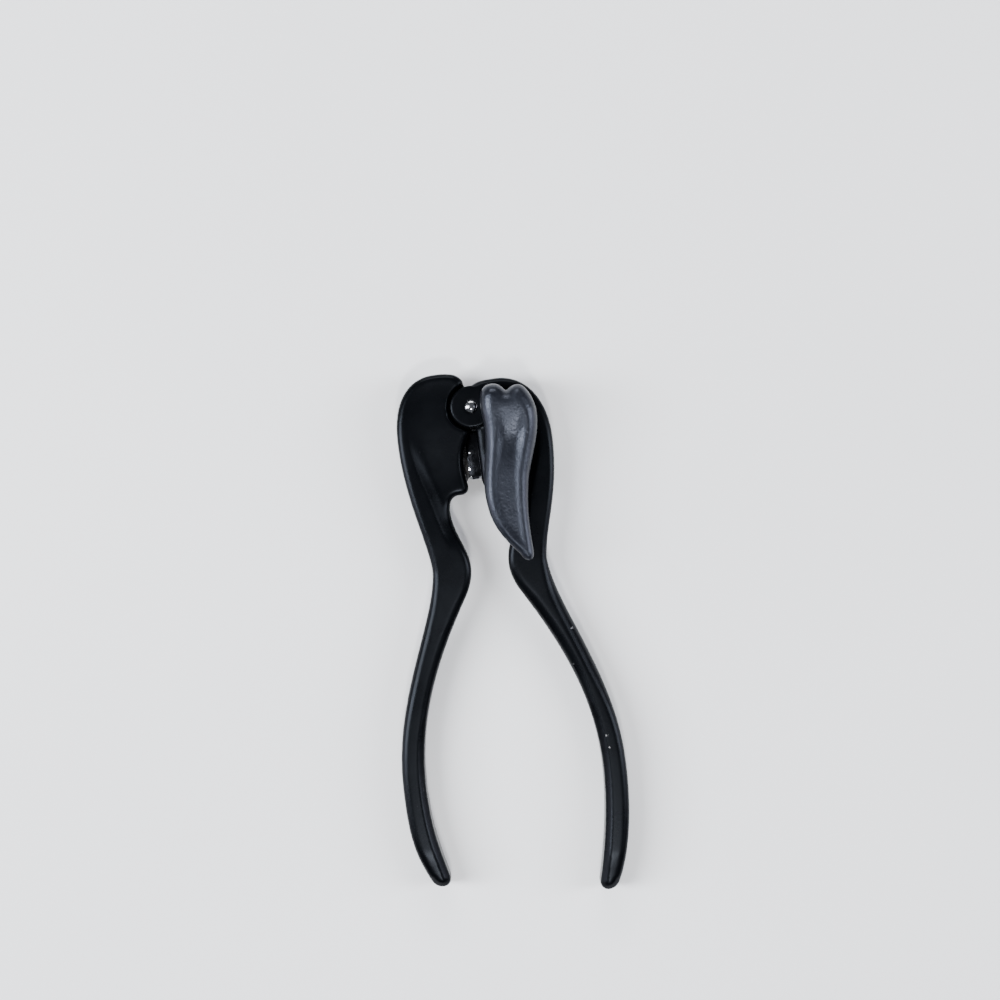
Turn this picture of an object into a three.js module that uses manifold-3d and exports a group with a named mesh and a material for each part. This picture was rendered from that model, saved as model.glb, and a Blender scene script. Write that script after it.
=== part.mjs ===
// Pliers-style manual can opener, lying on its back with the turning key on top.
//
// Millimetres, +Z up. The model is laid out round the pivot pin: the pin stands on the Z axis, the heads
// lie just below it, the grips run towards -Y and the rest plane is z = 0. At the end the whole opener is
// moved so that the origin is the middle of the foot of its box.
import * as THREE from 'three';
import { mergeVertices } from 'three/addons/utils/BufferGeometryUtils.js';
import Module from 'manifold-3d';

const wasm = await Module();
wasm.setup();

// ---- driving dimensions -----------------------------------------------------------------------------

// Heads and grips, seen from above. Each x is a distance out from the middle line of the opener. The two
// handles differ in the highest point of the head (crown), how far the corner beside the pivot stands below
// it (shoulder), where the head is widest (side), the edge that faces the other head (inner, with the
// rounding of its foot) and the end of the grip (tip).
const left = {
  crown: { x: 9.8, y: 10.8 },
  shoulder: 3.0,
  side: -8,
  inner: { x: 3.6, round: 2.4 },
  tip: { x: 25.2, y: -141.5 },
};
const right = {
  crown: { x: 8.6, y: 7.7 },
  shoulder: 1.6,
  side: -12,
  inner: { x: 0.6, round: 4.6 },
  tip: { x: 24.4, y: -148.1 },
};
const headReach = 23.1;                     // half width across the heads
const headFoot = -25.8;                     // y of the lower edge of each head
const notchReach = 9.9;                     // how far the notch under a head cuts in
const notchEnd = -30;                       // y of the deepest point of that notch
const waistOuter = 17.2;                    // outer edge at the waist
const waistInner = 5.6;                     // inner edge at the waist
const waist = -47.5;                        // y of the waist
const bowReach = 33.6;                      // outer edge at the widest point of the grips
const bow = -111;                           // y of that widest point
const gripWidth = 7.0;                      // width of a grip at the bow
const tipOut = 3.0;                         // outer edge of the blunt tip, from its middle
const tipIn = 2.5;                          // inner edge of the blunt tip, from its middle
const tipTurn = 2.4;                        // how far above its end the tip starts to turn round
const neck = -8;                            // y where the inner edge of a head meets its shoulder
const neckReach = 1.6;                      // widest that the inner edge may stand out above the neck
const innerHollow = 1.2;                    // how far a wide inner edge curves back below the neck

// How far the ends of each curve of the outline pull along the handle, both ways from a named place.
const pull = {
  crown: 7.6,
  side: { up: 13, down: 17 },
  waist: { up: 9, down: 15, inUp: 6, inDown: 26 },
  bow: { up: 27, down: 15, inUp: 20, inDown: 12 },
  tip: { out: 3.8, up: 8.2, inUp: 10, inOut: 2.6, past: 0.7 },
  notch: { up: 1.2, down: 7 },
};

// Depths, measured up from the rest plane.
const headThickness = 6.0;                  // casting of a head, back to face
const gripFront = 13.0;                     // front of the grips
const bellyStart = -56;                     // y where the back starts to drop from the head to the grip
const bellyEnd = -76;                       // y where the grip's back meets the rest plane
const edgeRound = 1.2;                      // rounding of the outline's edges

// Pivot.
const earRadius = 6.3;                      // round ears that lap at the pivot
const earPocketGap = 0.9;                   // ring of air round each ear
const pivotShankRadius = 1.35;
const pivotHeadRadius = 1.9;
const pivotDome = 0.95;                     // height of the domed head
const pivotTailRadius = 2.3;
const pivotTailHeight = 0.7;
const pivotWasherRadius = 4.6;
const pivotWasherThickness = 0.45;

// Wheels.
const wheelArm = 18.8;                      // pivot to either wheel axis
const feedDirection = -64.8;                // direction from the pivot to the feed axis, degrees
const feedWheelRadius = 8.2;                // over the teeth
const feedToothDepth = 0.9;
const feedToothCount = 22;
const feedWheelThickness = 3.2;
const feedHubRadius = 4.0;
const cutterRadius = 9.0;
const cutterThickness = 1.0;
const cutterBevel = 2.6;                    // width of the ground edge
const wheelGap = 1.3;                       // gap between the wheels with the handles at rest
const rollerRadius = 4.0;
const rollerLength = 3.5;

// Shaft, stud and their hardware.
const shaftRadius = 3.0;
const shaftLand = 0.1;                      // left of the round on the corners of its square ends
const bushWall = 1.1;
const studRadius = 2.4;
const studFlangeRadius = 4.4;
const studFlangeThickness = 0.6;
const studSeatDepth = 4.0;                  // how far the stud goes up into the casting
const screwHeadRadius = 4.0;
const screwHeadHeight = 0.9;
const screwShankRadius = 1.2;
const screwShankLength = 3.4;
const springWasherThickness = 0.4;
const springWasherWidth = 1.1;
const keyWasherThickness = 0.5;
const keyWasherRadius = 5.4;
const plateThickness = 1.0;
const leftPlateRadius = 4.3;                // plate round the cutter's axis, clear of the rim guide
const rightPlateRadius = 6.1;               // plate round the feed axis
const plateRivetRadius = 1.0;
const plateRivetHead = 1.8;
const plateRivetDepth = 3.5;
const plateSink = 0.8;                      // share of the plate's thickness that the head sinks into
const plateRivetSpread = 10.5;              // distance between the two rivets of a plate
const plateRivetOffset = 6.2;               // how far outwards they stand from the wheel axis
const plateRim = 1.5;                       // metal left round a rivet's head
const guideReach = 3.0;                     // rim guide on the right plate, out past the middle line
const guideTop = -5.6;                      // y of its upper edge
const guideFoot = -21.6;                    // y of its lower edge
const guideCorner = 1.2;

// Turning key.
const keyTop = 5.8;                         // y of the two lobes
const keyNotch = 2.6;                       // depth of the dip between the lobes
const keyWidth = 16.6;
const keyMiddle = 10.8;                     // x of the key's middle at its widest
const keyWidest = -4.0;                     // y where it is widest
const keyTail = -47.4;                      // y of the tail's end
const keyTailMiddle = 11.4;                 // x of the tail's middle
const keyTailWidth = 4.2;
const keyDip = 1.8;                         // half width of the dip
const keyLean = 1.0;                        // how much lower the right lobe stands
const keyThickness = 7.4;
const keyTailThickness = 5.4;
const keyRound = 1.0;
const keyHubRadius = 5.2;
const keyHubHeight = 1.1;
const keySocketDepth = 4.5;

// ---- clearances -------------------------------------------------------------------------------------

const stackGap = 0.15;                      // between pieces stacked on one axis
const runningGap = 0.15;                    // round anything that turns
const seatGap = 0.2;                        // round anything that is pressed in or riveted
const lapGap = 0.2;                         // each side of the washer between the two ears
const past = 5;                             // how far a cutting tool runs on beyond the metal

// ---- levels worked out from the stack on the wheel axes, from the rest plane up -----------------------

const springWasherBottom = screwHeadHeight + stackGap;
const cutterBottom = springWasherBottom + springWasherThickness + stackGap;
const cutterTop = cutterBottom + cutterThickness;
const rollerBottom = cutterTop + stackGap;
const rollerTop = rollerBottom + rollerLength;
const flangeBottom = rollerTop + stackGap;
const flangeTop = flangeBottom + studFlangeThickness;
const plateBottom = flangeTop + stackGap;
const plateTop = plateBottom + plateThickness;
const headBack = plateTop + seatGap;
const headFace = headBack + headThickness;
const feedBottom = rollerBottom + stackGap;
const feedTop = feedBottom + feedWheelThickness;
const keyWasherBottom = headFace + stackGap;
const keyHubBottom = keyWasherBottom + keyWasherThickness + stackGap;
const keyBottom = keyHubBottom + keyHubHeight;
const pocketRadius = earRadius + earPocketGap;
const shaftSquare = Math.SQRT2 * (shaftRadius - shaftLand);
const bushOuter = shaftRadius + runningGap + bushWall;
const lapHeight = 2 * lapGap + pivotWasherThickness;
const leftEarTop = headBack + (headThickness - lapHeight) / 2;
const rightEarBottom = leftEarTop + lapHeight;

// Wheel axes. The feed axis is set by its arm and direction; the cutter axis is on the same arm, turned so
// that the two wheels just clear each other at rest.
const radians = THREE.MathUtils.degToRad;
const feedAxis = polar(wheelArm, radians(feedDirection));
const wheelSpacing = feedWheelRadius + cutterRadius + wheelGap;
const wheelAngle = 2 * Math.asin(wheelSpacing / (2 * wheelArm));
const cutterAxis = polar(wheelArm, radians(feedDirection) - wheelAngle);

// ---- shape helpers ----------------------------------------------------------------------------------

function polar(radius, angle) {
  return new THREE.Vector2(radius * Math.cos(angle), radius * Math.sin(angle));
}

// A closed geometry with shared corners and its faces pointing out.
function closed(geometry) {
  const bare = geometry.index ? geometry.toNonIndexed() : geometry.clone();
  bare.deleteAttribute('normal');
  bare.deleteAttribute('uv');
  const merged = mergeVertices(bare, 1e-4);
  const source = merged.index.array;
  const kept = [];
  for (let i = 0; i < source.length; i += 3) {
    const [a, b, c] = [source[i], source[i + 1], source[i + 2]];
    if (a !== b && b !== c && c !== a) kept.push(a, b, c);
  }
  if (volumeOf(merged.attributes.position, kept) < 0) kept.reverse();
  merged.setIndex(kept);
  return merged;
}

function volumeOf(position, triangles) {
  const [a, b, c] = [new THREE.Vector3(), new THREE.Vector3(), new THREE.Vector3()];
  let volume = 0;
  for (let i = 0; i < triangles.length; i += 3) {
    a.fromBufferAttribute(position, triangles[i]);
    b.fromBufferAttribute(position, triangles[i + 1]);
    c.fromBufferAttribute(position, triangles[i + 2]);
    volume += a.dot(b.cross(c)) / 6;
  }
  return volume;
}

function solid(geometry) {
  const shape = closed(geometry);
  const mesh = new wasm.Mesh({
    numProp: 3,
    vertProperties: new Float32Array(shape.attributes.position.array),
    triVerts: new Uint32Array(shape.index.array),
  });
  return new wasm.Manifold(mesh);
}

function geometryOf(manifold) {
  const mesh = manifold.getMesh();
  const geometry = new THREE.BufferGeometry();
  geometry.setAttribute('position', new THREE.BufferAttribute(mesh.vertProperties, 3));
  geometry.setIndex(new THREE.BufferAttribute(mesh.triVerts, 1));
  return geometry;
}

function join(...geometries) {
  return geometryOf(geometries.map(solid).reduce((whole, next) => whole.add(next)));
}

function cut(base, ...tools) {
  return geometryOf(tools.map(solid).reduce((whole, tool) => whole.subtract(tool), solid(base)));
}

function common(one, other) {
  return geometryOf(solid(one).intersect(solid(other)));
}

function disc(radius, bottom, top, at = { x: 0, y: 0 }, sides = 40) {
  const geometry = new THREE.CylinderGeometry(radius, radius, top - bottom, sides);
  geometry.rotateX(Math.PI / 2);
  geometry.translate(at.x, at.y, (top + bottom) / 2);
  return geometry;
}

// A turned piece from its profile of [radius, height] corners, closed on the axis or on itself.
function turned(profile, at = { x: 0, y: 0 }, sides = 40) {
  const points = profile.map(([radius, height]) => new THREE.Vector2(radius, height));
  const geometry = new THREE.LatheGeometry(points, sides);
  geometry.rotateX(Math.PI / 2);
  geometry.translate(at.x, at.y, 0);
  return geometry;
}

function ring(inner, outer, bottom, top, at, sides = 40) {
  return turned([[inner, bottom], [outer, bottom], [outer, top], [inner, top], [inner, bottom]], at, sides);
}

function slab(shape, bottom, top, round = 0, segments = 8, roundSteps = 2) {
  const geometry = new THREE.ExtrudeGeometry(shape, {
    depth: top - bottom - 2 * round,
    curveSegments: segments,
    bevelEnabled: round > 0,
    bevelThickness: round,
    bevelSize: round,
    bevelOffset: -round,
    bevelSegments: roundSteps,
  });
  geometry.translate(0, 0, bottom + round);
  return geometry;
}

function squareBar(across, bottom, top, at) {
  const geometry = new THREE.BoxGeometry(across, across, top - bottom);
  geometry.translate(at.x, at.y, (top + bottom) / 2);
  return geometry;
}

// ---- handles ----------------------------------------------------------------------------------------

// Outline of a right-hand head and grip, from the crown round the outside to the tip and back inside.
function handleOutline({ crown, shoulder, side, inner, tip }) {
  const bowInner = bowReach - gripWidth;
  const neckInner = Math.min(inner.x, neckReach);
  const hollow = inner.x > neckInner ? innerHollow : 0;
  const tipOuter = tip.x + tipOut;
  const tipInner = tip.x - tipIn;
  const tipTop = tip.y + tipTurn;
  const tipPull = tip.y - pull.tip.past;
  const heel = waistInner + 2.8;
  const shape = new THREE.Shape();
  shape.moveTo(crown.x, crown.y);
  shape.bezierCurveTo(crown.x + pull.crown, crown.y, headReach, side + pull.side.up, headReach, side);
  shape.bezierCurveTo(
    headReach, side - pull.side.down,
    waistOuter + 0.4, waist + pull.waist.up,
    waistOuter, waist,
  );
  shape.bezierCurveTo(
    waistOuter + 1, waist - pull.waist.down,
    bowReach, bow + pull.bow.up,
    bowReach, bow,
  );
  shape.bezierCurveTo(
    bowReach, bow - pull.bow.down,
    tipOuter + pull.tip.out, tipTop + pull.tip.up,
    tipOuter, tipTop,
  );
  shape.bezierCurveTo(tipOuter - 1.4, tipPull, tipInner, tipPull, tipInner, tipTop);
  shape.bezierCurveTo(
    tipInner + pull.tip.inOut, tipTop + pull.tip.inUp,
    bowInner, bow - pull.bow.inDown,
    bowInner, bow,
  );
  shape.bezierCurveTo(
    bowInner, bow + pull.bow.inUp,
    waistInner + 13, waist - pull.waist.inDown,
    heel, waist - 9,
  );
  shape.bezierCurveTo(waistInner + 1, waist - 6, waistInner, waist - 3, waistInner, waist);
  shape.bezierCurveTo(
    waistInner, waist + pull.waist.inUp,
    notchReach, notchEnd - pull.notch.down,
    notchReach, notchEnd,
  );
  shape.bezierCurveTo(
    notchReach, headFoot - pull.notch.up,
    notchReach - 1.5, headFoot,
    notchReach - 3, headFoot,
  );
  shape.lineTo(inner.x + inner.round, headFoot);
  shape.quadraticCurveTo(inner.x, headFoot, inner.x, headFoot + inner.round);
  shape.bezierCurveTo(inner.x + hollow, headFoot + 8, inner.x + hollow, neck - 5, neckInner, neck);
  shape.lineTo(neckInner, crown.y - shoulder);
  shape.quadraticCurveTo(crown.x - 5, crown.y, crown.x, crown.y);
  return shape;
}

// Side view of a handle, x standing for y and y for z: head over the can, belly down to the rest plane.
function sideProfile() {
  const beyond = 4 * past;
  const shape = new THREE.Shape();
  shape.moveTo(beyond, headBack);
  shape.lineTo(bellyStart, headBack);
  shape.bezierCurveTo(bellyStart - 9, headBack, bellyEnd + 9, 0, bellyEnd, 0);
  shape.lineTo(right.tip.y - beyond, 0);
  shape.lineTo(right.tip.y - beyond, gripFront);
  shape.lineTo(bellyEnd, gripFront);
  shape.bezierCurveTo(bellyEnd + 15, gripFront, notchEnd - 15, headFace, notchEnd, headFace);
  shape.lineTo(beyond, headFace);
  shape.closePath();
  return shape;
}

function sideSlab() {
  const span = 2 * (bowReach + headReach);
  const geometry = new THREE.ExtrudeGeometry(sideProfile(), {
    depth: span,
    curveSegments: 8,
    bevelEnabled: false,
  });
  geometry.rotateX(Math.PI / 2);
  geometry.rotateZ(Math.PI / 2);
  geometry.translate(-span / 2, 0, 0);
  return geometry;
}

function handleBlank(hand) {
  const plan = slab(handleOutline(hand), 0, headFace, edgeRound);
  return common(plan, sideSlab());
}

function leftHandle() {
  const blank = handleBlank(left);
  blank.scale(-1, 1, 1);
  const ear = disc(earRadius, headBack, leftEarTop);
  const pocket = disc(pocketRadius, leftEarTop, headFace + past, undefined, 64);
  const pivotHole = disc(pivotShankRadius + runningGap, headBack - past, headFace + past);
  const studTop = headBack + studSeatDepth;
  const studHole = disc(studRadius + seatGap, headBack - past, studTop + seatGap, cutterAxis);
  const rivetHoles = plateRivetPlaces(cutterAxis, -1).map(plateRivetHole);
  return cut(join(cut(blank, pocket), ear), pivotHole, studHole, ...rivetHoles);
}

function rightHandle() {
  const blank = handleBlank(right);
  const ear = disc(earRadius, rightEarBottom, headFace);
  const boss = disc(shaftRadius + 2 * runningGap + bushWall + 1.6, headBack, headFace, feedAxis);
  const pocket = disc(pocketRadius, headBack - past, rightEarBottom, undefined, 64);
  const pivotHole = disc(pivotShankRadius + runningGap, headBack - past, headFace + past);
  const bushHole = disc(bushOuter + seatGap, headBack - past, headFace + past, feedAxis);
  const rivetHoles = plateRivetPlaces(feedAxis, 1).map(plateRivetHole);
  return cut(join(cut(blank, pocket), ear, boss), pivotHole, bushHole, ...rivetHoles);
}

// ---- wheel plates and their rivets --------------------------------------------------------------------

function plateRivetPlaces(axis, outward) {
  return [1, -1].map((end) => new THREE.Vector2(
    axis.x + outward * plateRivetOffset,
    axis.y + end * plateRivetSpread / 2,
  ));
}

// A countersunk rivet: its head fills the sink in the plate, its shank goes up into the casting.
function plateRivet(at) {
  return turned([
    [0, plateBottom],
    [plateRivetHead, plateBottom],
    [plateRivetRadius, plateBottom + plateThickness * plateSink],
    [plateRivetRadius, plateTop + seatGap + plateRivetDepth],
    [0, plateTop + seatGap + plateRivetDepth],
  ], at, 20);
}

// The hole for it, a gap bigger all round.
function plateRivetHole(at) {
  const top = plateTop + 2 * seatGap + plateRivetDepth;
  return turned([
    [0, plateBottom - seatGap],
    [plateRivetHead + seatGap, plateBottom - seatGap],
    [plateRivetHead + seatGap, plateBottom],
    [plateRivetRadius + seatGap, plateBottom + plateThickness * plateSink],
    [plateRivetRadius + seatGap, top],
    [0, top],
  ], at, 20);
}

function wheelPlate(axis, outward, radius, boreRadius, ...guides) {
  const places = plateRivetPlaces(axis, outward);
  const lobe = plateRivetHead + plateRim;
  const shape = new THREE.Shape();
  const turn = outward > 0 ? 0 : Math.PI;
  const start = turn + Math.PI / 2;
  shape.absarc(axis.x, axis.y, radius, start, start + Math.PI, false);
  const order = outward > 0 ? [places[1], places[0]] : [places[0], places[1]];
  shape.absarc(order[0].x, order[0].y, lobe, start + Math.PI, start + 1.5 * Math.PI, false);
  shape.absarc(order[1].x, order[1].y, lobe, start + 1.5 * Math.PI, start + 2 * Math.PI, false);
  shape.closePath();
  const bore = disc(boreRadius, plateBottom - 1, plateTop + 1, axis);
  const blank = join(slab(shape, plateBottom, plateTop, 0, 12), ...guides);
  return cut(blank, bore, ...places.map(plateRivetHole));
}

// The flat guide that fills the gap between the two heads and keeps the can's rim below them.
function rimGuide() {
  const shape = new THREE.Shape();
  shape.moveTo(feedAxis.x, guideTop);
  shape.lineTo(guideCorner - guideReach, guideTop);
  shape.quadraticCurveTo(-guideReach, guideTop, -guideReach, guideTop - guideCorner);
  shape.lineTo(-guideReach, guideFoot + guideCorner);
  shape.quadraticCurveTo(-guideReach, guideFoot, guideCorner - guideReach, guideFoot);
  shape.lineTo(feedAxis.x, guideFoot);
  shape.closePath();
  return slab(shape, plateBottom, plateTop, 0, 6);
}

// ---- pivot ------------------------------------------------------------------------------------------

function pivotRivet() {
  const headBottom = headFace + stackGap;
  const tailTop = headBack - pivotWasherThickness - 2 * stackGap;
  const domeSteps = 5;
  const dome = [];
  for (let i = 0; i <= domeSteps; i += 1) {
    const angle = (i / domeSteps) * Math.PI / 2;
    dome.push([pivotHeadRadius * Math.cos(angle), headBottom + 0.25 + (pivotDome - 0.25) * Math.sin(angle)]);
  }
  dome[domeSteps][0] = 0;
  return turned([
    [0, tailTop - pivotTailHeight],
    [pivotTailRadius * 0.8, tailTop - pivotTailHeight],
    [pivotTailRadius, tailTop - pivotTailHeight / 2],
    [pivotTailRadius, tailTop],
    [pivotShankRadius, tailTop],
    [pivotShankRadius, headBottom],
    [pivotHeadRadius, headBottom],
    ...dome,
  ], undefined, 32);
}

function pivotWasher(bottom) {
  const inner = pivotShankRadius + runningGap;
  return ring(inner, pivotWasherRadius, bottom, bottom + pivotWasherThickness, undefined, 32);
}

// ---- feed wheel and key shaft -------------------------------------------------------------------------

function keyShaft() {
  const bottom = screwHeadHeight + stackGap;
  const shoulder = feedTop + stackGap;
  const top = keyHubBottom + keySocketDepth;
  const round = disc(shaftRadius, shoulder, keyHubBottom - stackGap, feedAxis, 32);
  const square = squareBar(shaftSquare, bottom, top, feedAxis);
  const holeTop = bottom + screwShankLength + seatGap;
  const hole = disc(screwShankRadius + seatGap, bottom - 1, holeTop, feedAxis, 20);
  return cut(join(round, square), hole);
}

function feedWheel() {
  const teeth = new THREE.Shape();
  const pitch = 2 * Math.PI / feedToothCount;
  for (let i = 0; i < feedToothCount; i += 1) {
    const tip = polar(feedWheelRadius, i * pitch);
    const root = polar(feedWheelRadius - feedToothDepth, (i + 0.42) * pitch);
    if (i === 0) teeth.moveTo(tip.x, tip.y);
    else teeth.lineTo(tip.x, tip.y);
    teeth.lineTo(root.x, root.y);
  }
  teeth.closePath();
  const wheel = slab(teeth, feedBottom, feedTop);
  wheel.translate(feedAxis.x, feedAxis.y, 0);
  const hubBottom = springWasherBottom + springWasherThickness + stackGap;
  const hub = disc(feedHubRadius, hubBottom, feedTop, feedAxis);
  const bore = squareBar(shaftSquare + 2 * seatGap, hubBottom - 1, feedTop + 1, feedAxis);
  return cut(join(wheel, hub), bore);
}

function shaftWasher(inner, outer, bottom, top) {
  return ring(inner, outer, bottom, top, feedAxis, 32);
}

function screw(at) {
  const shankTop = screwHeadHeight + stackGap + screwShankLength;
  const blank = turned([
    [0, 0],
    [screwHeadRadius - 0.5, 0],
    [screwHeadRadius, 0.5],
    [screwHeadRadius, screwHeadHeight],
    [screwShankRadius, screwHeadHeight],
    [screwShankRadius, shankTop],
    [0, shankTop],
  ], at, 32);
  const slot = new THREE.BoxGeometry(2 * screwHeadRadius + 1, 0.9, 0.9);
  slot.translate(at.x, at.y, 0);
  return cut(blank, slot);
}

// ---- cutter -------------------------------------------------------------------------------------------

function cutterStud() {
  const bottom = springWasherBottom;
  const top = headBack + studSeatDepth;
  const blank = turned([
    [0, bottom],
    [studRadius, bottom],
    [studRadius, flangeBottom],
    [studFlangeRadius, flangeBottom],
    [studFlangeRadius, flangeTop],
    [studRadius, flangeTop],
    [studRadius, top],
    [0, top],
  ], cutterAxis, 32);
  const holeTop = bottom + screwShankLength + seatGap;
  const hole = disc(screwShankRadius + seatGap, bottom - 1, holeTop, cutterAxis, 20);
  return cut(blank, hole);
}

function cuttingWheel() {
  const inner = studRadius + runningGap;
  const edge = (cutterBottom + cutterTop) / 2;
  return turned([
    [inner, cutterBottom],
    [cutterRadius - cutterBevel, cutterBottom],
    [cutterRadius, edge - 0.06],
    [cutterRadius, edge + 0.06],
    [cutterRadius - cutterBevel, cutterTop],
    [inner, cutterTop],
    [inner, cutterBottom],
  ], cutterAxis, 64);
}

function rimRoller() {
  const inner = studRadius + runningGap;
  const chamfer = 0.4;
  return turned([
    [inner, rollerBottom],
    [rollerRadius - chamfer, rollerBottom],
    [rollerRadius, rollerBottom + chamfer],
    [rollerRadius, rollerTop - chamfer],
    [rollerRadius - chamfer, rollerTop],
    [inner, rollerTop],
    [inner, rollerBottom],
  ], cutterAxis);
}

// ---- turning key ----------------------------------------------------------------------------------------

// Two lobes at the top, full sides, and a tail that swings a little outwards.
function keyOutline() {
  const west = keyMiddle - keyWidth / 2;
  const east = keyMiddle + keyWidth / 2;
  const lobe = keyWidth / 4;
  const lobeTop = keyTop - keyLean;
  const tailWest = keyTailMiddle - keyTailWidth / 2;
  const tailEast = keyTailMiddle + keyTailWidth / 2;
  const tailEnd = keyTail + 2.4;
  const shape = new THREE.Shape();
  shape.moveTo(keyMiddle, keyTop - keyNotch);
  shape.bezierCurveTo(keyMiddle - keyDip, keyTop, west + lobe + 1, keyTop, west + lobe, keyTop);
  shape.bezierCurveTo(west + 0.9, keyTop, west - 0.3, keyWidest + 7, west + 0.5, keyWidest);
  shape.bezierCurveTo(west + 1.5, keyWidest - 7, west - 1.9, keyWidest - 16, west - 1.3, keyWidest - 24);
  shape.bezierCurveTo(west - 0.6, keyWidest - 31.5, tailWest - 5.2, tailEnd + 6, tailWest, tailEnd);
  shape.bezierCurveTo(tailWest + 1.4, keyTail - 0.8, tailEast, keyTail - 0.8, tailEast, tailEnd);
  shape.bezierCurveTo(tailEast - 0.6, keyTail + 12, tailEast - 0.3, keyTail + 17, east - 4.3, keyWidest - 18);
  shape.bezierCurveTo(east - 1.5, keyWidest - 9, east, keyWidest - 6, east, keyWidest);
  shape.bezierCurveTo(east, keyWidest + 4, east - 2.6, lobeTop, east - lobe - 0.6, lobeTop);
  shape.bezierCurveTo(east - lobe - 1.4, lobeTop, keyMiddle + keyDip, lobeTop, keyMiddle, keyTop - keyNotch);
  return shape;
}

function turningKey() {
  const keyFace = keyBottom + keyThickness;
  const plan = slab(keyOutline(), keyBottom, keyFace, keyRound, 8);
  const thin = new THREE.Shape();
  thin.moveTo(keyTop + past, keyBottom);
  thin.lineTo(keyTail - past, keyBottom);
  const tailFace = keyBottom + keyTailThickness;
  thin.lineTo(keyTail - past, tailFace);
  thin.bezierCurveTo(keyTail + 16, tailFace, feedAxis.y - 6, keyFace, feedAxis.y + 4, keyFace);
  thin.lineTo(keyTop + past, keyFace);
  thin.closePath();
  const side = new THREE.ExtrudeGeometry(thin, {
    depth: 3 * keyWidth,
    curveSegments: 8,
    bevelEnabled: false,
  });
  side.rotateX(Math.PI / 2);
  side.rotateZ(Math.PI / 2);
  side.translate(keyMiddle - 1.5 * keyWidth, 0, 0);
  const hub = disc(keyHubRadius, keyHubBottom, keyBottom + 1, feedAxis);
  const socketTop = keyHubBottom + keySocketDepth + seatGap;
  const socket = squareBar(shaftSquare + 2 * seatGap, keyHubBottom - 1, socketTop, feedAxis);
  return cut(join(common(plan, side), hub), socket);
}

// ---- materials ------------------------------------------------------------------------------------------

const finishes = {
  blackPaint: { color: 0x0c0c0e, roughness: 0.32, metalness: 0.0 },
  slatePaint: { color: 0x3a3c44, roughness: 0.5, metalness: 0.2 },
  brightRivet: { color: 0xd8d8da, roughness: 0.12, metalness: 1.0 },
  wheelSteel: { color: 0x8c8d90, roughness: 0.3, metalness: 1.0 },
  darkSteel: { color: 0x4a4b4e, roughness: 0.4, metalness: 1.0 },
  bushBronze: { color: 0x9a6b36, roughness: 0.4, metalness: 1.0 },
  nylon: { color: 0x161616, roughness: 0.6, metalness: 0.0 },
};

function piece(name, geometry, finish) {
  const mesh = new THREE.Mesh(closed(geometry), new THREE.MeshStandardMaterial(finishes[finish]));
  mesh.name = name;
  return mesh;
}

// ---- assembly -------------------------------------------------------------------------------------------

const opener = new THREE.Group();

opener.add(piece('left_handle', leftHandle(), 'blackPaint'));
opener.add(piece('right_handle', rightHandle(), 'blackPaint'));

opener.add(piece('pivot_rivet', pivotRivet(), 'brightRivet'));
opener.add(piece('pivot_friction_washer', pivotWasher(leftEarTop + lapGap), 'darkSteel'));
opener.add(piece('pivot_rear_washer', pivotWasher(headBack - pivotWasherThickness - stackGap), 'darkSteel'));

opener.add(piece(
  'left_wheel_plate',
  wheelPlate(cutterAxis, -1, leftPlateRadius, studRadius + seatGap),
  'darkSteel',
));
opener.add(piece(
  'right_wheel_plate',
  wheelPlate(feedAxis, 1, rightPlateRadius, shaftRadius + 2 * runningGap, rimGuide()),
  'darkSteel',
));
plateRivetPlaces(cutterAxis, -1).forEach((at, i) => {
  opener.add(piece(`left_plate_rivet_${i + 1}`, plateRivet(at), 'wheelSteel'));
});
plateRivetPlaces(feedAxis, 1).forEach((at, i) => {
  opener.add(piece(`right_plate_rivet_${i + 1}`, plateRivet(at), 'wheelSteel'));
});

opener.add(piece('cutter_stud', cutterStud(), 'wheelSteel'));
opener.add(piece('rim_roller', rimRoller(), 'wheelSteel'));
opener.add(piece('cutting_wheel', cuttingWheel(), 'wheelSteel'));
opener.add(piece(
  'cutter_spring_washer',
  ring(
    studRadius + runningGap,
    studRadius + runningGap + springWasherWidth,
    springWasherBottom,
    springWasherBottom + springWasherThickness,
    cutterAxis,
    32,
  ),
  'darkSteel',
));
opener.add(piece('cutter_screw', screw(cutterAxis), 'wheelSteel'));

const squareCorner = shaftSquare / Math.SQRT2 + runningGap;
const feedSpacerTop = plateBottom - stackGap;
opener.add(piece(
  'shaft_bush',
  ring(shaftRadius + runningGap, bushOuter, headBack + stackGap, headFace, feedAxis, 32),
  'bushBronze',
));
opener.add(piece('key_shaft', keyShaft(), 'wheelSteel'));
opener.add(piece('feed_wheel', feedWheel(), 'wheelSteel'));
opener.add(piece(
  'feed_spacer',
  shaftWasher(shaftRadius + runningGap, shaftRadius + 2, feedTop + stackGap, feedSpacerTop),
  'darkSteel',
));
opener.add(piece(
  'feed_lock_washer',
  shaftWasher(
    squareCorner,
    squareCorner + springWasherWidth,
    springWasherBottom,
    springWasherBottom + springWasherThickness,
  ),
  'darkSteel',
));
opener.add(piece('feed_screw', screw(feedAxis), 'wheelSteel'));
opener.add(piece(
  'key_washer',
  shaftWasher(
    shaftRadius + runningGap,
    keyWasherRadius,
    keyWasherBottom,
    keyWasherBottom + keyWasherThickness,
  ),
  'nylon',
));
opener.add(piece('turning_key', turningKey(), 'slatePaint'));

// The origin goes to the middle of the foot of the box.
const box = new THREE.Box3().setFromObject(opener);
const middle = box.getCenter(new THREE.Vector3());
opener.position.set(-middle.x, -middle.y, -box.min.z);

export default opener;
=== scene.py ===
import bpy
import bmesh
from math import cos, hypot, pi, radians, sin, sqrt
from mathutils import Matrix, Vector
from mathutils.geometry import interpolate_bezier
from mathutils.kdtree import KDTree


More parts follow.
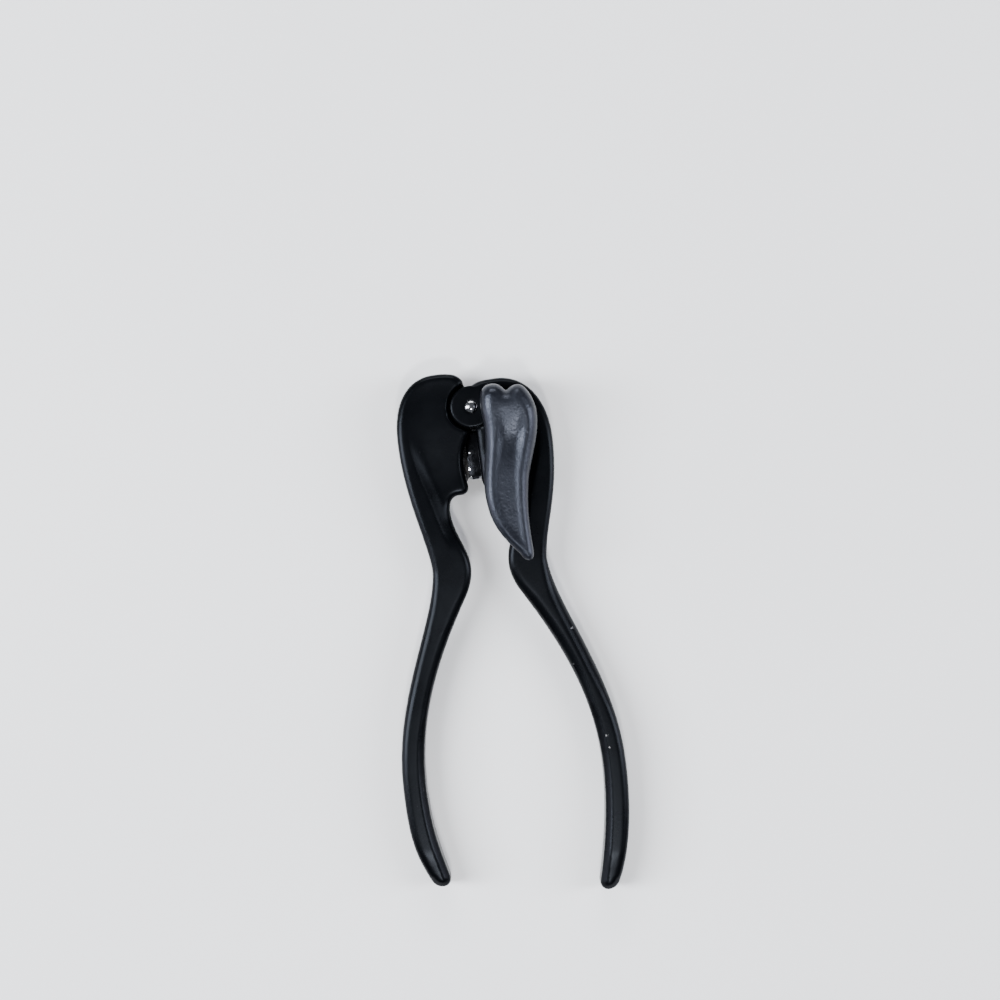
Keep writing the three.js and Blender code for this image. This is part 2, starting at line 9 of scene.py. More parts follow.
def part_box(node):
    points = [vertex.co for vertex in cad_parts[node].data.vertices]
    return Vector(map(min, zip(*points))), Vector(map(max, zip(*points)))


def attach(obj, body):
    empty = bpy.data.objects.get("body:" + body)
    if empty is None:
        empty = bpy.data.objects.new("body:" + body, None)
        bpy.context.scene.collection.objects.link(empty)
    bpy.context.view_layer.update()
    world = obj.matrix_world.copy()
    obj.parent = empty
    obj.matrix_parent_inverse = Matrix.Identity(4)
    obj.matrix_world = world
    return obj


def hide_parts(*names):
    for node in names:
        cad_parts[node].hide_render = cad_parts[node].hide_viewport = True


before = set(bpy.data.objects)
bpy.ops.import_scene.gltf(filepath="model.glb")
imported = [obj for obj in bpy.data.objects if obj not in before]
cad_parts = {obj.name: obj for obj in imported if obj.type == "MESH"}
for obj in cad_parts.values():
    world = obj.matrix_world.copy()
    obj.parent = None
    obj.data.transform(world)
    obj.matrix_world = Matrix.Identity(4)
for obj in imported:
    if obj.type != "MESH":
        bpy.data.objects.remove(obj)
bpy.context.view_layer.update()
print("frame loaded:", len(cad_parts), "nodes")

mm = 0.001
gap = 0.15 * mm      # what the CAD model leaves between neighbours


def centreOf(node):
    low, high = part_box(node)
    return (low + high) / 2


def levelsOf(node):
    low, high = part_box(node)
    return low.z, high.z


pivot = centreOf("pivot_rivet")
feedAxis = centreOf("feed_spacer")
cutterAxis = centreOf("rim_roller")
headBack = levelsOf("shaft_bush")[0] - gap
headFace = levelsOf("shaft_bush")[1]


def linked(name, mesh):
    piece = bpy.data.objects.new(name, mesh)
    bpy.context.scene.collection.objects.link(piece)
    return piece


def fromBmesh(name, bm):
    mesh = bpy.data.meshes.new(name)
    bm.to_mesh(mesh)
    bm.free()
    return linked(name, mesh)


def applied(piece):
    # turn the modifier stack into the piece's own mesh
    bpy.context.view_layer.update()
    graph = bpy.context.evaluated_depsgraph_get()
    mesh = bpy.data.meshes.new_from_object(piece.evaluated_get(graph))
    piece.modifiers.clear()
    old = piece.data
    piece.data = mesh
    bpy.data.meshes.remove(old)
    return piece


def remeshed(piece, voxel):
    remesh = piece.modifiers.new("remesh", "REMESH")
    remesh.mode = "VOXEL"
    remesh.voxel_size = voxel
    return applied(piece)


def carved(piece, tool, operation="DIFFERENCE"):
    cutter = piece.modifiers.new("cut", "BOOLEAN")
    cutter.object = tool
    cutter.operation = operation
    cutter.solver = "EXACT"
    applied(piece)
    bpy.data.objects.remove(tool)
    return piece


def smoothed(piece, rounds):
    bm = bmesh.new()
    bm.from_mesh(piece.data)
    for _ in range(rounds):
        bmesh.ops.smooth_vert(
            bm, verts=bm.verts, factor=0.5, use_axis_x=True, use_axis_y=True, use_axis_z=True
        )
    bm.to_mesh(piece.data)
    bm.free()
    return piece


def shadeSmooth(piece, angle=None):
    piece.data.shade_smooth()
    if angle is not None:
        piece.data.set_sharp_from_angle(angle=radians(angle))
    return piece


def softenEdges(bm, width, limit=30):
    # round off every edge where two faces meet at more than the limit
    sharp = [e for e in bm.edges if len(e.link_faces) == 2 and e.calc_face_angle(0) > radians(limit)]
    bmesh.ops.bevel(
        bm, geom=sharp, offset=width, offset_type="OFFSET", affect="EDGES",
        segments=2, profile=0.5, material=-1, clamp_overlap=True,
    )


def discTool(radius, bottom, top, centre):
    bm = bmesh.new()
    bmesh.ops.create_cone(
        bm, cap_ends=True, segments=96, radius1=radius, radius2=radius, depth=top - bottom
    )
    bmesh.ops.translate(bm, verts=bm.verts, vec=(centre.x, centre.y, (top + bottom) / 2))
    return fromBmesh("tool", bm)


def turned(name, profile, centre, steps=96, rounding=0.0):
    # spin a profile of (radius, height) corners about a vertical axis; a closed ring ends where it starts
    bm = bmesh.new()
    corners = [bm.verts.new((radius, 0, height)) for radius, height in profile]
    for a, b in zip(corners, corners[1:]):
        bm.edges.new((a, b))
    if profile[0][0] > 0:
        bm.edges.new((corners[-1], corners[0]))
    bmesh.ops.spin(
        bm, geom=bm.verts[:] + bm.edges[:], cent=(0, 0, 0), axis=(0, 0, 1),
        angle=2 * pi, steps=steps, use_merge=True,
    )
    bmesh.ops.remove_doubles(bm, verts=bm.verts, dist=1e-6)
    bmesh.ops.recalc_face_normals(bm, faces=bm.faces)
    if rounding:
        softenEdges(bm, rounding)
    bmesh.ops.translate(bm, verts=bm.verts, vec=(centre.x, centre.y, 0))
    return fromBmesh(name, bm)


def smoothStep(value, low, high):
    t = min(1, max(0, (value - low) / (high - low)))
    return t * t * (3 - 2 * t)


def between(first, second, share):
    return first + (second - first) * share


def roundOff(distance, radius):
    # how far a rounded edge has dropped at this distance from the outline
    if distance >= radius:
        return 0
    inward = radius - max(distance, 0)
    return radius - sqrt(max(radius * radius - inward * inward, 0))


def curveThrough(start, segments):
    # chain of Bezier stretches: (handle, handle, end) for a curve, (end,) for a straight line
    points = [Vector((start[0], start[1], 0))]
    for stretch in segments:
        here = points[-1]
        ends = [Vector((x, y, 0)) for x, y in stretch]
        if len(ends) == 1:
            points.append(ends[0])
        else:
            points.extend(interpolate_bezier(here, *ends, 18)[1:])
    return points


def blankFrom(name, outline, thickness, voxel):
    # a slab of the outline, remeshed into an even skin that can be sculpted
    bm = bmesh.new()
    face = bm.faces.new([bm.verts.new(p) for p in outline])
    grown = bmesh.ops.extrude_face_region(bm, geom=[face])
    top = [v for v in grown["geom"] if isinstance(v, bmesh.types.BMVert)]
    bmesh.ops.translate(bm, verts=top, vec=(0, 0, thickness))
    bmesh.ops.recalc_face_normals(bm, faces=bm.faces)
    return remeshed(fromBmesh(name, bm), voxel)


def treeOf(points):
    tree = KDTree(len(points))
    for i, point in enumerate(points):
        tree.insert(point, i)
    tree.balance()
    return tree


def distanceTo(points, spacing):
    # nearest distance to a chain of points, filled in at the given spacing
    dense = []
    for a, b in zip(points, points[1:]):
        count = max(1, int((b - a).length / spacing))
        dense.extend(a.lerp(b, i / count) for i in range(count))
    dense.append(points[-1])
    tree = treeOf(dense)
    return lambda x, y: tree.find((x, y, 0))[2]


def insideOf(points, spacing):
    # distance to the chain, positive on its right-hand side
    dense, forward = [], []
    for a, b in zip(points, points[1:]):
        count = max(1, int((b - a).length / spacing))
        for i in range(count):
            dense.append(a.lerp(b, i / count))
            forward.append((b - a).normalized())
    tree = treeOf(dense)

    def signed(x, y):
        near, index, distance = tree.find((x, y, 0))
        along = forward[index]
        across = along.x * (y - near.y) - along.y * (x - near.x)
        return distance if across < 0 else -distance

    return signed


# the two handles, in millimetres from the pivot axis; x is measured outwards from the line between them
handleSizes = {
    "headReach": 23.1, "headFoot": -25.8, "notchReach": 9.9, "notchEnd": -30.0,
    "waistOuter": 17.2, "waistInner": 5.6, "waist": -47.5,
    "bowReach": 33.6, "bow": -111.0, "gripWidth": 7.0,
    "tipOut": 3.3, "tipIn": 2.7, "tipTurn": 2.4,
    "neck": -8.0, "neckInner": 1.6, "innerHollow": 1.2,
    "gripFront": 13.0, "bellyStart": -54.0, "bellyEnd": -80.0, "blank": 14,
    "headRound": 1.7, "gripRound": 2.1, "gripBevel": 1.8, "backRound": 1.1, "gripBackRound": 2.2,
    "tipThins": 1.0, "tipThinsOver": 12, "tipBackShare": 0.6,
    "scoopDepth": 1.5, "scoopDepthTop": 0.4, "scoopRun": 4.0, "scoopRunTop": 7.0,
    "earRadius": 6.3, "pocketRadius": 7.2, "lapGap": 0.2, "rivetHole": 1.5, "past": 3,
    "bossRadius": 5.1, "bossSink": 0.1, "bushHole": 4.45,
    "voxel": 0.34, "smoothing": 7, "draftSmoothing": 3,
}
# distances below the pivot over which one shape turns into the next
handleFades = {
    "grip": (34, 78), "ridgeIn": (46, 60), "ridgeOut": (78, 100), "bevel": (76, 98),
    "scoopDeeper": (0, 22), "scoopEnd": (32, 43),
}
# how far the ends of each curve of the outline pull along the handle
handlePulls = {
    "crown": 7.6, "sideUp": 13, "sideDown": 17,
    "waistUp": 9, "waistDown": 15, "waistInUp": 6, "waistInDown": 26,
    "bowUp": 27, "bowDown": 15, "bowInUp": 20, "bowInDown": 12,
    "tipOut": 3.8, "tipUp": 8.2, "tipCorner": 1.4, "tipPast": 1, "tipInOut": 2.6, "tipInUp": 10,
    "notchUp": 1.2, "notchDown": 7,
}
leftSizes = {
    "crown": (9.8, 10.8), "shoulder": 3.0, "side": -8.0,
    "inner": 3.6, "innerRound": 2.4, "tip": (25.2, -141.5), "ridge": 0.3,
}
rightSizes = {
    "crown": (8.6, 7.7), "shoulder": 1.6, "side": -12.0,
    "inner": 0.6, "innerRound": 4.6, "tip": (24.4, -148.1), "ridge": 1.3,
}


def outerEdge(hand):
    s, pull = handleSizes, handlePulls
    crownX, crownY = hand["crown"]
    tipOuter = hand["tip"][0] + s["tipOut"]
    tipTop = hand["tip"][1] + s["tipTurn"]
    return (crownX, crownY), [
        (
            (crownX + pull["crown"], crownY),
            (s["headReach"], hand["side"] + pull["sideUp"]),
            (s["headReach"], hand["side"]),
        ),
        (
            (s["headReach"], hand["side"] - pull["sideDown"]),
            (s["waistOuter"] + 0.4, s["waist"] + pull["waistUp"]),
            (s["waistOuter"], s["waist"]),
        ),
        (
            (s["waistOuter"] + 1, s["waist"] - pull["waistDown"]),
            (s["bowReach"], s["bow"] + pull["bowUp"]),
            (s["bowReach"], s["bow"]),
        ),
        (
            (s["bowReach"], s["bow"] - pull["bowDown"]),
            (tipOuter + pull["tipOut"], tipTop + pull["tipUp"]),
            (tipOuter, tipTop),
        ),
    ]


def innerEdge(hand):
    s, pull = handleSizes, handlePulls
    crownX, crownY = hand["crown"]
    tipX, tipY = hand["tip"]
    tipOuter, tipInner, tipTop = tipX + s["tipOut"], tipX - s["tipIn"], tipY + s["tipTurn"]
    bowInner = s["bowReach"] - s["gripWidth"]
    inner, foot, turn = hand["inner"], s["headFoot"], hand["innerRound"]
    neckInner = min(inner, s["neckInner"])
    hollow = s["innerHollow"] if inner > neckInner else 0
    return [
        (
            (tipOuter - pull["tipCorner"], tipY - pull["tipPast"]),
            (tipInner, tipY - pull["tipPast"]),
            (tipInner, tipTop),
        ),
        (
            (tipInner + pull["tipInOut"], tipTop + pull["tipInUp"]),
            (bowInner, s["bow"] - pull["bowInDown"]),
            (bowInner, s["bow"]),
        ),
        (
            (bowInner, s["bow"] + pull["bowInUp"]),
            (s["waistInner"] + 13, s["waist"] - pull["waistInDown"]),
            (s["waistInner"] + 2.8, s["waist"] - 9),
        ),
        (
            (s["waistInner"] + 1, s["waist"] - 6),
            (s["waistInner"], s["waist"] - 3),
            (s["waistInner"], s["waist"]),
        ),
        (
            (s["waistInner"], s["waist"] + pull["waistInUp"]),
            (s["notchReach"], s["notchEnd"] - pull["notchDown"]),
            (s["notchReach"], s["notchEnd"]),
        ),
        (
            (s["notchReach"], foot - pull["notchUp"]),
            (s["notchReach"] - 1.5, foot),
            (s["notchReach"] - 3, foot),
        ),
        ((inner + turn, foot),),
        ((inner + turn / 3, foot), (inner, foot + turn / 3), (inner, foot + turn)),
        ((inner + hollow, foot + 8), (inner + hollow, s["neck"] - 5), (neckInner, s["neck"])),
        ((neckInner, crownY - hand["shoulder"]),),
        ((neckInner + 1.4, crownY - 0.3), (crownX - 4, crownY), (crownX, crownY)),
    ]


def handleFront(y):
    s = handleSizes
    face = headFace / mm
    return between(face, s["gripFront"], smoothStep(-y, -s["notchEnd"], -s["bellyEnd"]))


def handleBack(y):
    s = handleSizes
    return headBack / mm * (1 - smoothStep(-y, -s["bellyStart"], -s["bellyEnd"]))


def scoopCrease(hand):
    # the line where the head's flat border breaks into the scoop, from the crown down to a point at the neck
    crownX, crownY = hand["crown"]
    reach = handleSizes["headReach"] - 2.7
    return curveThrough((crownX - 9, crownY - 1.8), [
        ((crownX - 4, crownY - 1.6), (crownX - 2, crownY - 1.6), (crownX, crownY - 1.6)),
        ((crownX + 6.5, crownY - 1.8), (reach, 6), (reach, -4.5)),
        ((reach - 0.2, -12), (17.4, -20), (15.4, -26.1)),
        ((14.2, -30.5), (13, -36), (11, -42)),
    ])


def sculptHandle(piece, hand, side, thickness):
    s, fade = handleSizes, handleFades
    start, outer = outerEdge(hand)
    toEdge = distanceTo(curveThrough(start, outer + innerEdge(hand)), 0.25)
    toInner = distanceTo(curveThrough(outer[-1][-1], innerEdge(hand)[:3]), 0.25)
    intoScoop = insideOf(scoopCrease(hand), 0.25)
    tipY = hand["tip"][1]
    for vertex in piece.data.vertices:
        x, y = vertex.co.x / mm * side, vertex.co.y / mm
        share = vertex.co.z / thickness
        gripness = smoothStep(-y, *fade["grip"])
        edge = toEdge(x, y)
        frontRound = between(s["headRound"], s["gripRound"], gripness)
        frontRound += hand["ridge"] * smoothStep(-y, *fade["ridgeIn"]) * (1 - smoothStep(-y, *fade["ridgeOut"]))
        backRound = between(s["backRound"], s["gripBackRound"], gripness)
        lift = s["tipThins"] * smoothStep(tipY + s["tipThinsOver"] - y, 0, s["tipThinsOver"])
        bevel = s["gripBevel"] * smoothStep(-y, *fade["bevel"])
        top = handleFront(y) - max(roundOff(edge, frontRound), bevel - toInner(x, y)) - lift
        bottom = handleBack(y) + roundOff(edge, backRound) + lift * s["tipBackShare"]
        into = intoScoop(x, y)
        if into > 0:
            low = smoothStep(-y, *fade["scoopDeeper"])
            run = min(1, into / between(s["scoopRunTop"], s["scoopRun"], low))
            depth = between(s["scoopDepthTop"], s["scoopDepth"], low)
            top -= depth * (1 - (1 - run) ** 2) * (1 - smoothStep(-y, *fade["scoopEnd"]))
        vertex.co.z = (bottom + share * (top - bottom)) * mm
    piece.data.update()


def makeHandle(name, hand, side, carve):
    s = handleSizes
    start, outer = outerEdge(hand)
    points = curveThrough(start, outer + innerEdge(hand))[:-1]
    outline = [Vector((p.x * side * mm, p.y * mm, 0)) for p in points]
    thickness = s["blank"] * mm
    voxel = s["voxel"] * mm * 1
    piece = blankFrom(name, outline, thickness, voxel)
    sculptHandle(piece, hand, side, thickness)
    piece.data.transform(Matrix.Translation((pivot.x, pivot.y, 0)))
    carve(piece)
    remeshed(piece, voxel)
    smoothed(piece, s["smoothing"])
    return shadeSmooth(piece)


def carveLeft(piece):
    s = handleSizes
    past = s["past"] * mm
    lapTop = levelsOf("pivot_friction_washer")[0] - s["lapGap"] * mm
    carved(piece, discTool(s["pocketRadius"] * mm, lapTop, headFace + past, pivot))
    carved(piece, discTool(s["earRadius"] * mm, headBack, lapTop, pivot), "UNION")
    carved(piece, discTool(s["rivetHole"] * mm, headBack - past, headFace + past, pivot))


def carveRight(piece):
    s = handleSizes
    past = s["past"] * mm
    lapBottom = levelsOf("pivot_friction_washer")[1] + s["lapGap"] * mm
    carved(piece, discTool(s["pocketRadius"] * mm, headBack - past, lapBottom, pivot))
    carved(piece, discTool(s["earRadius"] * mm, lapBottom, headFace, pivot), "UNION")
    bossTop = headFace - s["bossSink"] * mm
    carved(piece, discTool(s["bossRadius"] * mm, headBack, bossTop, feedAxis), "UNION")
    carved(piece, discTool(s["rivetHole"] * mm, headBack - past, headFace + past, pivot))
    carved(piece, discTool(s["bushHole"] * mm, headBack - past, headFace + past, feedAxis))


leftHandle = makeHandle("leftHandleCasting", leftSizes, -1, carveLeft)
rightHandle = makeHandle("rightHandleCasting", rightSizes, 1, carveRight)
print("handles:", len(leftHandle.data.polygons), len(rightHandle.data.polygons), "faces")


# the turning key: its outline, then ridges along both edges with a hollow between them
keySizes = {
    "top": 5.8, "notch": 2.6, "width": 16.6, "middle": 10.8, "widest": -4.0,
    "tail": -47.4, "tailMiddle": 11.4, "tailWidth": 4.2, "tailTurn": 2.4, "tailThickness": 5.4,
    "blank": 8, "hubStands": 1.1, "hubRadius": 5.0, "hubFoot": 0.6, "hubSpread": 6.2, "hubTop": 1.9,
    "step": 0.9,                                     # drop of the face below the two lobes
    "round": 3.7, "tailRoundLess": 1.6, "backRound": 1.6,
    "dish": 1.0, "dishLow": 0.6, "dishTail": 0.35,   # depth of the hollow, from its top down
    "dishStart": 1.0, "dishFull": -12.0,             # y where it begins and where it is deepest
    "ridge": 1.9, "ridgeTail": 1.5,                  # how far in from the edge the crest runs
    "run": 4.4, "runLow": 3.2, "runTail": 2.0,       # from the crest down to the floor of the hollow
    "voxel": 0.24, "smoothing": 14, "draftSmoothing": 4,
}
keyFades = {"step": (0, 15), "fall": (14, 48), "low": (9, 22), "tail": (10, 42)}   # below the pivot


def keyOutline():
    s = keySizes
    middle, top, widest, tail = s["middle"], s["top"], s["widest"], s["tail"]
    west, east = middle - s["width"] / 2, middle + s["width"] / 2
    lobe, dip, tailEnd = s["width"] / 4, top - s["notch"], tail + s["tailTurn"]
    tailWest = s["tailMiddle"] - s["tailWidth"] / 2
    tailEast = s["tailMiddle"] + s["tailWidth"] / 2
    return curveThrough((middle, dip), [
        ((middle - 1.8, top), (west + lobe + 1, top), (west + lobe, top)),
        ((west + 0.9, top), (west - 0.3, widest + 7), (west + 0.5, widest)),
        ((west + 1.5, widest - 7), (west - 1.9, widest - 16), (west - 1.3, widest - 24)),
        ((west - 0.6, widest - 31.5), (tailWest - 5.2, tailEnd + 6), (tailWest, tailEnd)),
        ((tailWest + 1.4, tail - 0.8), (tailEast, tail - 0.8), (tailEast, tailEnd)),
        ((tailEast - 0.6, tail + 12), (tailEast - 0.3, tail + 17), (east - 4.3, widest - 18)),
        ((east - 1.5, widest - 9), (east, widest - 6), (east, widest)),
        ((east, widest + 4), (east - 2.6, top - 1), (east - lobe - 0.6, top - 1)),
        ((east - lobe - 1.4, top - 1), (middle + 1.8, top - 1), (middle, dip)),
    ])


def sculptKey(piece, line, thickness, bottomLevel, face):
    s, fade = keySizes, keyFades
    toEdge = distanceTo(line, 0.2)
    fall = face - bottomLevel - s["tailThickness"] - s["step"]
    for vertex in piece.data.vertices:
        x, y = vertex.co.x / mm, vertex.co.y / mm
        share = vertex.co.z / thickness
        edge = toEdge(x, y)
        tail = smoothStep(-y, *fade["tail"])
        low = smoothStep(-y, *fade["low"])
        top = face - s["step"] * smoothStep(-y, *fade["step"]) - fall * smoothStep(-y, *fade["fall"])
        ridge = between(s["ridge"], s["ridgeTail"], tail)
        run = between(s["run"], s["runLow"], low) + (s["runTail"] - s["runLow"]) * tail
        depth = between(s["dish"], s["dishLow"], low) + (s["dishTail"] - s["dishLow"]) * tail
        depth *= smoothStep(-y, -s["dishStart"], -s["dishFull"])
        top -= roundOff(edge, s["round"] - s["tailRoundLess"] * tail)
        top -= depth * smoothStep(edge, ridge, ridge + run)
        bottom = bottomLevel + roundOff(edge, s["backRound"])
        vertex.co.z = (bottom + share * (top - bottom)) * mm
    piece.data.update()


def makeKey(name):
    s = keySizes
    line = keyOutline()
    outline = [Vector((p.x * mm, p.y * mm, 0)) for p in line[:-1]]
    low, high = levelsOf("turning_key")
    thickness = s["blank"] * mm
    voxel = s["voxel"] * mm * 1
    piece = blankFrom(name, outline, thickness, voxel)
    sculptKey(piece, line, thickness, low / mm + s["hubStands"], high / mm)
    piece.data.transform(Matrix.Translation((pivot.x, pivot.y, 0)))
    radius, hubTop = s["hubRadius"] * mm, low + s["hubTop"] * mm
    hub = turned("hub", [
        (0, low), (radius, low), (radius, low + s["hubFoot"] * mm), (s["hubSpread"] * mm, hubTop), (0, hubTop),
    ], feedAxis)
    carved(piece, hub, "UNION")
    remeshed(piece, voxel)
    smoothed(piece, s["smoothing"])
    return shadeSmooth(piece)


turningKey = makeKey("turningKeyCasting")
print("key:", len(turningKey.data.polygons), "faces")


hardwareSizes = {
    "softEdge": 0.07, "rivetRadius": 1.85, "rivetDome": 0.95, "rivetTail": 2.25,
    "feedTeeth": 22, "toothDepth": 1.0, "feedHub": 4.0, "feedRadius": 8.15,
    "cutterBevel": 2.6, "plateSoft": 0.12, "slotWidth": 0.8, "slotDepth": 0.45,
    "pivotBore": 1.5, "feedBore": 3.15, "lockBore": 3.05, "cutterBore": 2.55, "nylonSoft": 0.12,
    "springWave": 0.048, "springFlatten": 0.35, "stud": 2.4, "studFlange": 4.4, "shaft": 3.0, "square": 4.1,
}


def domeProfile(radius, bottom, height, rim):
    # a flat underside, a short rim and a round dome up to the axis
    steps = 10
    profile = [(radius, bottom)]
    for i in range(steps):
        angle = i / steps * pi / 2
        profile.append((radius * cos(angle), bottom + rim + (height - rim) * sin(angle)))
    return profile + [(0, bottom + height)]


def makeRivet(name):
    s = hardwareSizes
    low, high = levelsOf("pivot_rivet")
    headBottom = high - s["rivetDome"] * mm
    tailTop = low + 0.7 * mm
    tail = s["rivetTail"] * mm
    shank = 1.35 * mm
    profile = [(0, low), (tail * 0.7, low), (tail * 0.93, low + 0.2 * mm), (tail, low + 0.42 * mm)]
    profile += [(tail, tailTop), (shank, tailTop), (shank, headBottom)]
    profile += domeProfile(s["rivetRadius"] * mm, headBottom, s["rivetDome"] * mm, 0.14 * mm)
    return shadeSmooth(turned(name, profile, pivot, 64), 35)


def makeRing(name, node, inner, soft=hardwareSizes["softEdge"]):
    # a plain washer or bush with soft edges, as big as its CAD node
    low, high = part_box(node)
    outer = (high.x - low.x) / 2
    centre = (low + high) / 2
    profile = [(inner, low.z), (outer, low.z), (outer, high.z), (inner, high.z)]
    return shadeSmooth(turned(name, profile, centre, 96, soft * mm), 40)


def makeSpringRing(name, node, inner):
    # a washer that is bent into three low waves
    s = hardwareSizes
    piece = makeRing(name, node, inner, 0.05)
    centre = centreOf(node)
    for vertex in piece.data.vertices:
        away = vertex.co - centre
        bend = Vector((away.x, away.y)).angle_signed(Vector((1, 0)), 0)
        flatter = s["springFlatten"] * (0.5 - 0.5 * cos(3 * bend))
        wave = s["springWave"] * mm * sin(3 * bend) * flatter
        vertex.co.z = centre.z + away.z * (1 - flatter) + wave
    return piece


def makeScrew(name, node, centre):
    s = hardwareSizes
    low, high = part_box(node)
    head = (high.x - low.x) / 2
    headTop = low.z + 0.9 * mm
    shank = 1.2 * mm
    profile = [
        (0, low.z), (head - 0.7 * mm, low.z), (head - 0.25 * mm, low.z + 0.14 * mm),
        (head, low.z + 0.42 * mm), (head, headTop), (shank, headTop), (shank, high.z), (0, high.z),
    ]
    piece = turned(name, profile, centre, 64, 0.05 * mm)
    bm = bmesh.new()
    bmesh.ops.create_cube(bm, size=1)
    bmesh.ops.scale(bm, verts=bm.verts, vec=(3 * head, s["slotWidth"] * mm, 2 * s["slotDepth"] * mm))
    bmesh.ops.rotate(bm, verts=bm.verts, matrix=Matrix.Rotation(radians(28), 3, "Z"))
    bmesh.ops.translate(bm, verts=bm.verts, vec=(centre.x, centre.y, low.z))
    carved(piece, fromBmesh("slot", bm))
    return shadeSmooth(piece, 35)


def makeFeedWheel(name):
    s = hardwareSizes
    low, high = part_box("feed_wheel")
    teethLow = high.z - 3.2 * mm
    teeth = s["feedTeeth"]
    bm = bmesh.new()
    rim = bmesh.ops.create_circle(bm, cap_ends=True, segments=4 * teeth, radius=s["feedRadius"] * mm)
    for i, vertex in enumerate(rim["verts"]):
        # two of every four corners make the tooth, the other two its root
        if i % 4 > 1:
            vertex.co *= 1 - s["toothDepth"] / s["feedRadius"]
    grown = bmesh.ops.extrude_face_region(bm, geom=bm.faces[:])
    top = [v for v in grown["geom"] if isinstance(v, bmesh.types.BMVert)]
    bmesh.ops.translate(bm, verts=top, vec=(0, 0, high.z - teethLow))
    bmesh.ops.recalc_face_normals(bm, faces=bm.faces)
    softenEdges(bm, s["softEdge"] * mm, 20)
    bmesh.ops.translate(bm, verts=bm.verts, vec=(feedAxis.x, feedAxis.y, teethLow))
    piece = fromBmesh(name, bm)
    hub = turned("hub", [
        (0, low.z), (s["feedHub"] * mm, low.z), (s["feedHub"] * mm, teethLow + 0.5 * mm),
        (0, teethLow + 0.5 * mm),
    ], feedAxis, 64, 0.08 * mm)
    carved(piece, hub, "UNION")
    bm = bmesh.new()
    bmesh.ops.create_cube(bm, size=1)
    bmesh.ops.scale(bm, verts=bm.verts, vec=(4.5 * mm, 4.5 * mm, 20 * mm))
    bmesh.ops.translate(bm, verts=bm.verts, vec=(feedAxis.x, feedAxis.y, low.z))
    carved(piece, fromBmesh("square", bm))
    return shadeSmooth(piece, 30)


def makeCuttingWheel(name):
    s = hardwareSizes
    low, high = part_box("cutting_wheel")
    outer = (high.x - low.x) / 2
    inner = hardwareSizes["cutterBore"] * mm
    land = outer - s["cutterBevel"] * mm
    edge = (low.z + high.z) / 2
    profile = [
        (inner, low.z), (land, low.z), (outer, edge - 0.03 * mm), (outer, edge + 0.03 * mm),
        (land, high.z), (inner, high.z),
    ]
    return shadeSmooth(turned(name, profile, cutterAxis, 160), 8)


def makeRoller(name):
    low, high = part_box("rim_roller")
    outer = (high.x - low.x) / 2
    inner = hardwareSizes["cutterBore"] * mm
    waist = outer - 0.25 * mm
    profile = [
        (inner, low.z), (outer - 0.35 * mm, low.z), (outer, low.z + 0.35 * mm),
        (outer, low.z + 0.8 * mm), (waist, low.z + 1.1 * mm), (waist, high.z - 1.1 * mm),
        (outer, high.z - 0.8 * mm), (outer, high.z - 0.35 * mm), (outer - 0.35 * mm, high.z), (inner, high.z),
    ]
    return shadeSmooth(turned(name, profile, cutterAxis, 96, 0.06 * mm), 35)


def makeStud(name):
    low, high = levelsOf("cutter_stud")
    flange = hardwareSizes["studFlange"] * mm
    shoulder = levelsOf("rim_roller")[1] + gap
    radius = hardwareSizes["stud"] * mm
    profile = [
        (0, low), (radius, low), (radius, shoulder), (flange, shoulder), (flange, shoulder + 0.6 * mm),
        (radius, shoulder + 0.6 * mm), (radius, high), (0, high),
    ]
    return shadeSmooth(turned(name, profile, cutterAxis, 64, 0.06 * mm), 35)


def makeShaft(name):
    low, high = levelsOf("key_shaft")
    roundLow = levelsOf("feed_wheel")[1] + gap
    roundHigh = levelsOf("turning_key")[0] - gap
    radius, square = hardwareSizes["shaft"] * mm, hardwareSizes["square"] * mm
    profile = [(0, roundLow), (radius, roundLow), (radius, roundHigh), (0, roundHigh)]
    piece = turned(name, profile, feedAxis, 64, 0.08 * mm)
    bm = bmesh.new()
    bmesh.ops.create_cube(bm, size=1)
    bmesh.ops.scale(bm, verts=bm.verts, vec=(square, square, high - low))
    softenEdges(bm, 0.12 * mm)
    bmesh.ops.translate(bm, verts=bm.verts, vec=(feedAxis.x, feedAxis.y, (low + high) / 2))
    carved(piece, fromBmesh("square", bm), "UNION")
    return shadeSmooth(piece, 30)


def makePlate(name, node):
    # the CAD plate with its doubles merged and its edges rounded
    bm = bmesh.new()
    bm.from_mesh(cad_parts[node].data)
    bmesh.ops.remove_doubles(bm, verts=bm.verts, dist=2e-6)
    bmesh.ops.dissolve_limit(bm, angle_limit=radians(1), verts=bm.verts, edges=bm.edges)
    softenEdges(bm, hardwareSizes["plateSoft"] * mm, 40)
    return shadeSmooth(fromBmesh(name, bm), 35)


def makePlateRivet(name, node):
    low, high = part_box(node)
    centre = (low + high) / 2
    head = (high.x - low.x) / 2
    shank = 1.0 * mm
    profile = [
        (0, low.z), (head - 0.1 * mm, low.z), (head, low.z + 0.05 * mm),
        (shank, low.z + 0.8 * mm), (shank, high.z), (0, high.z),
    ]
    return shadeSmooth(turned(name, profile, centre, 48), 35)


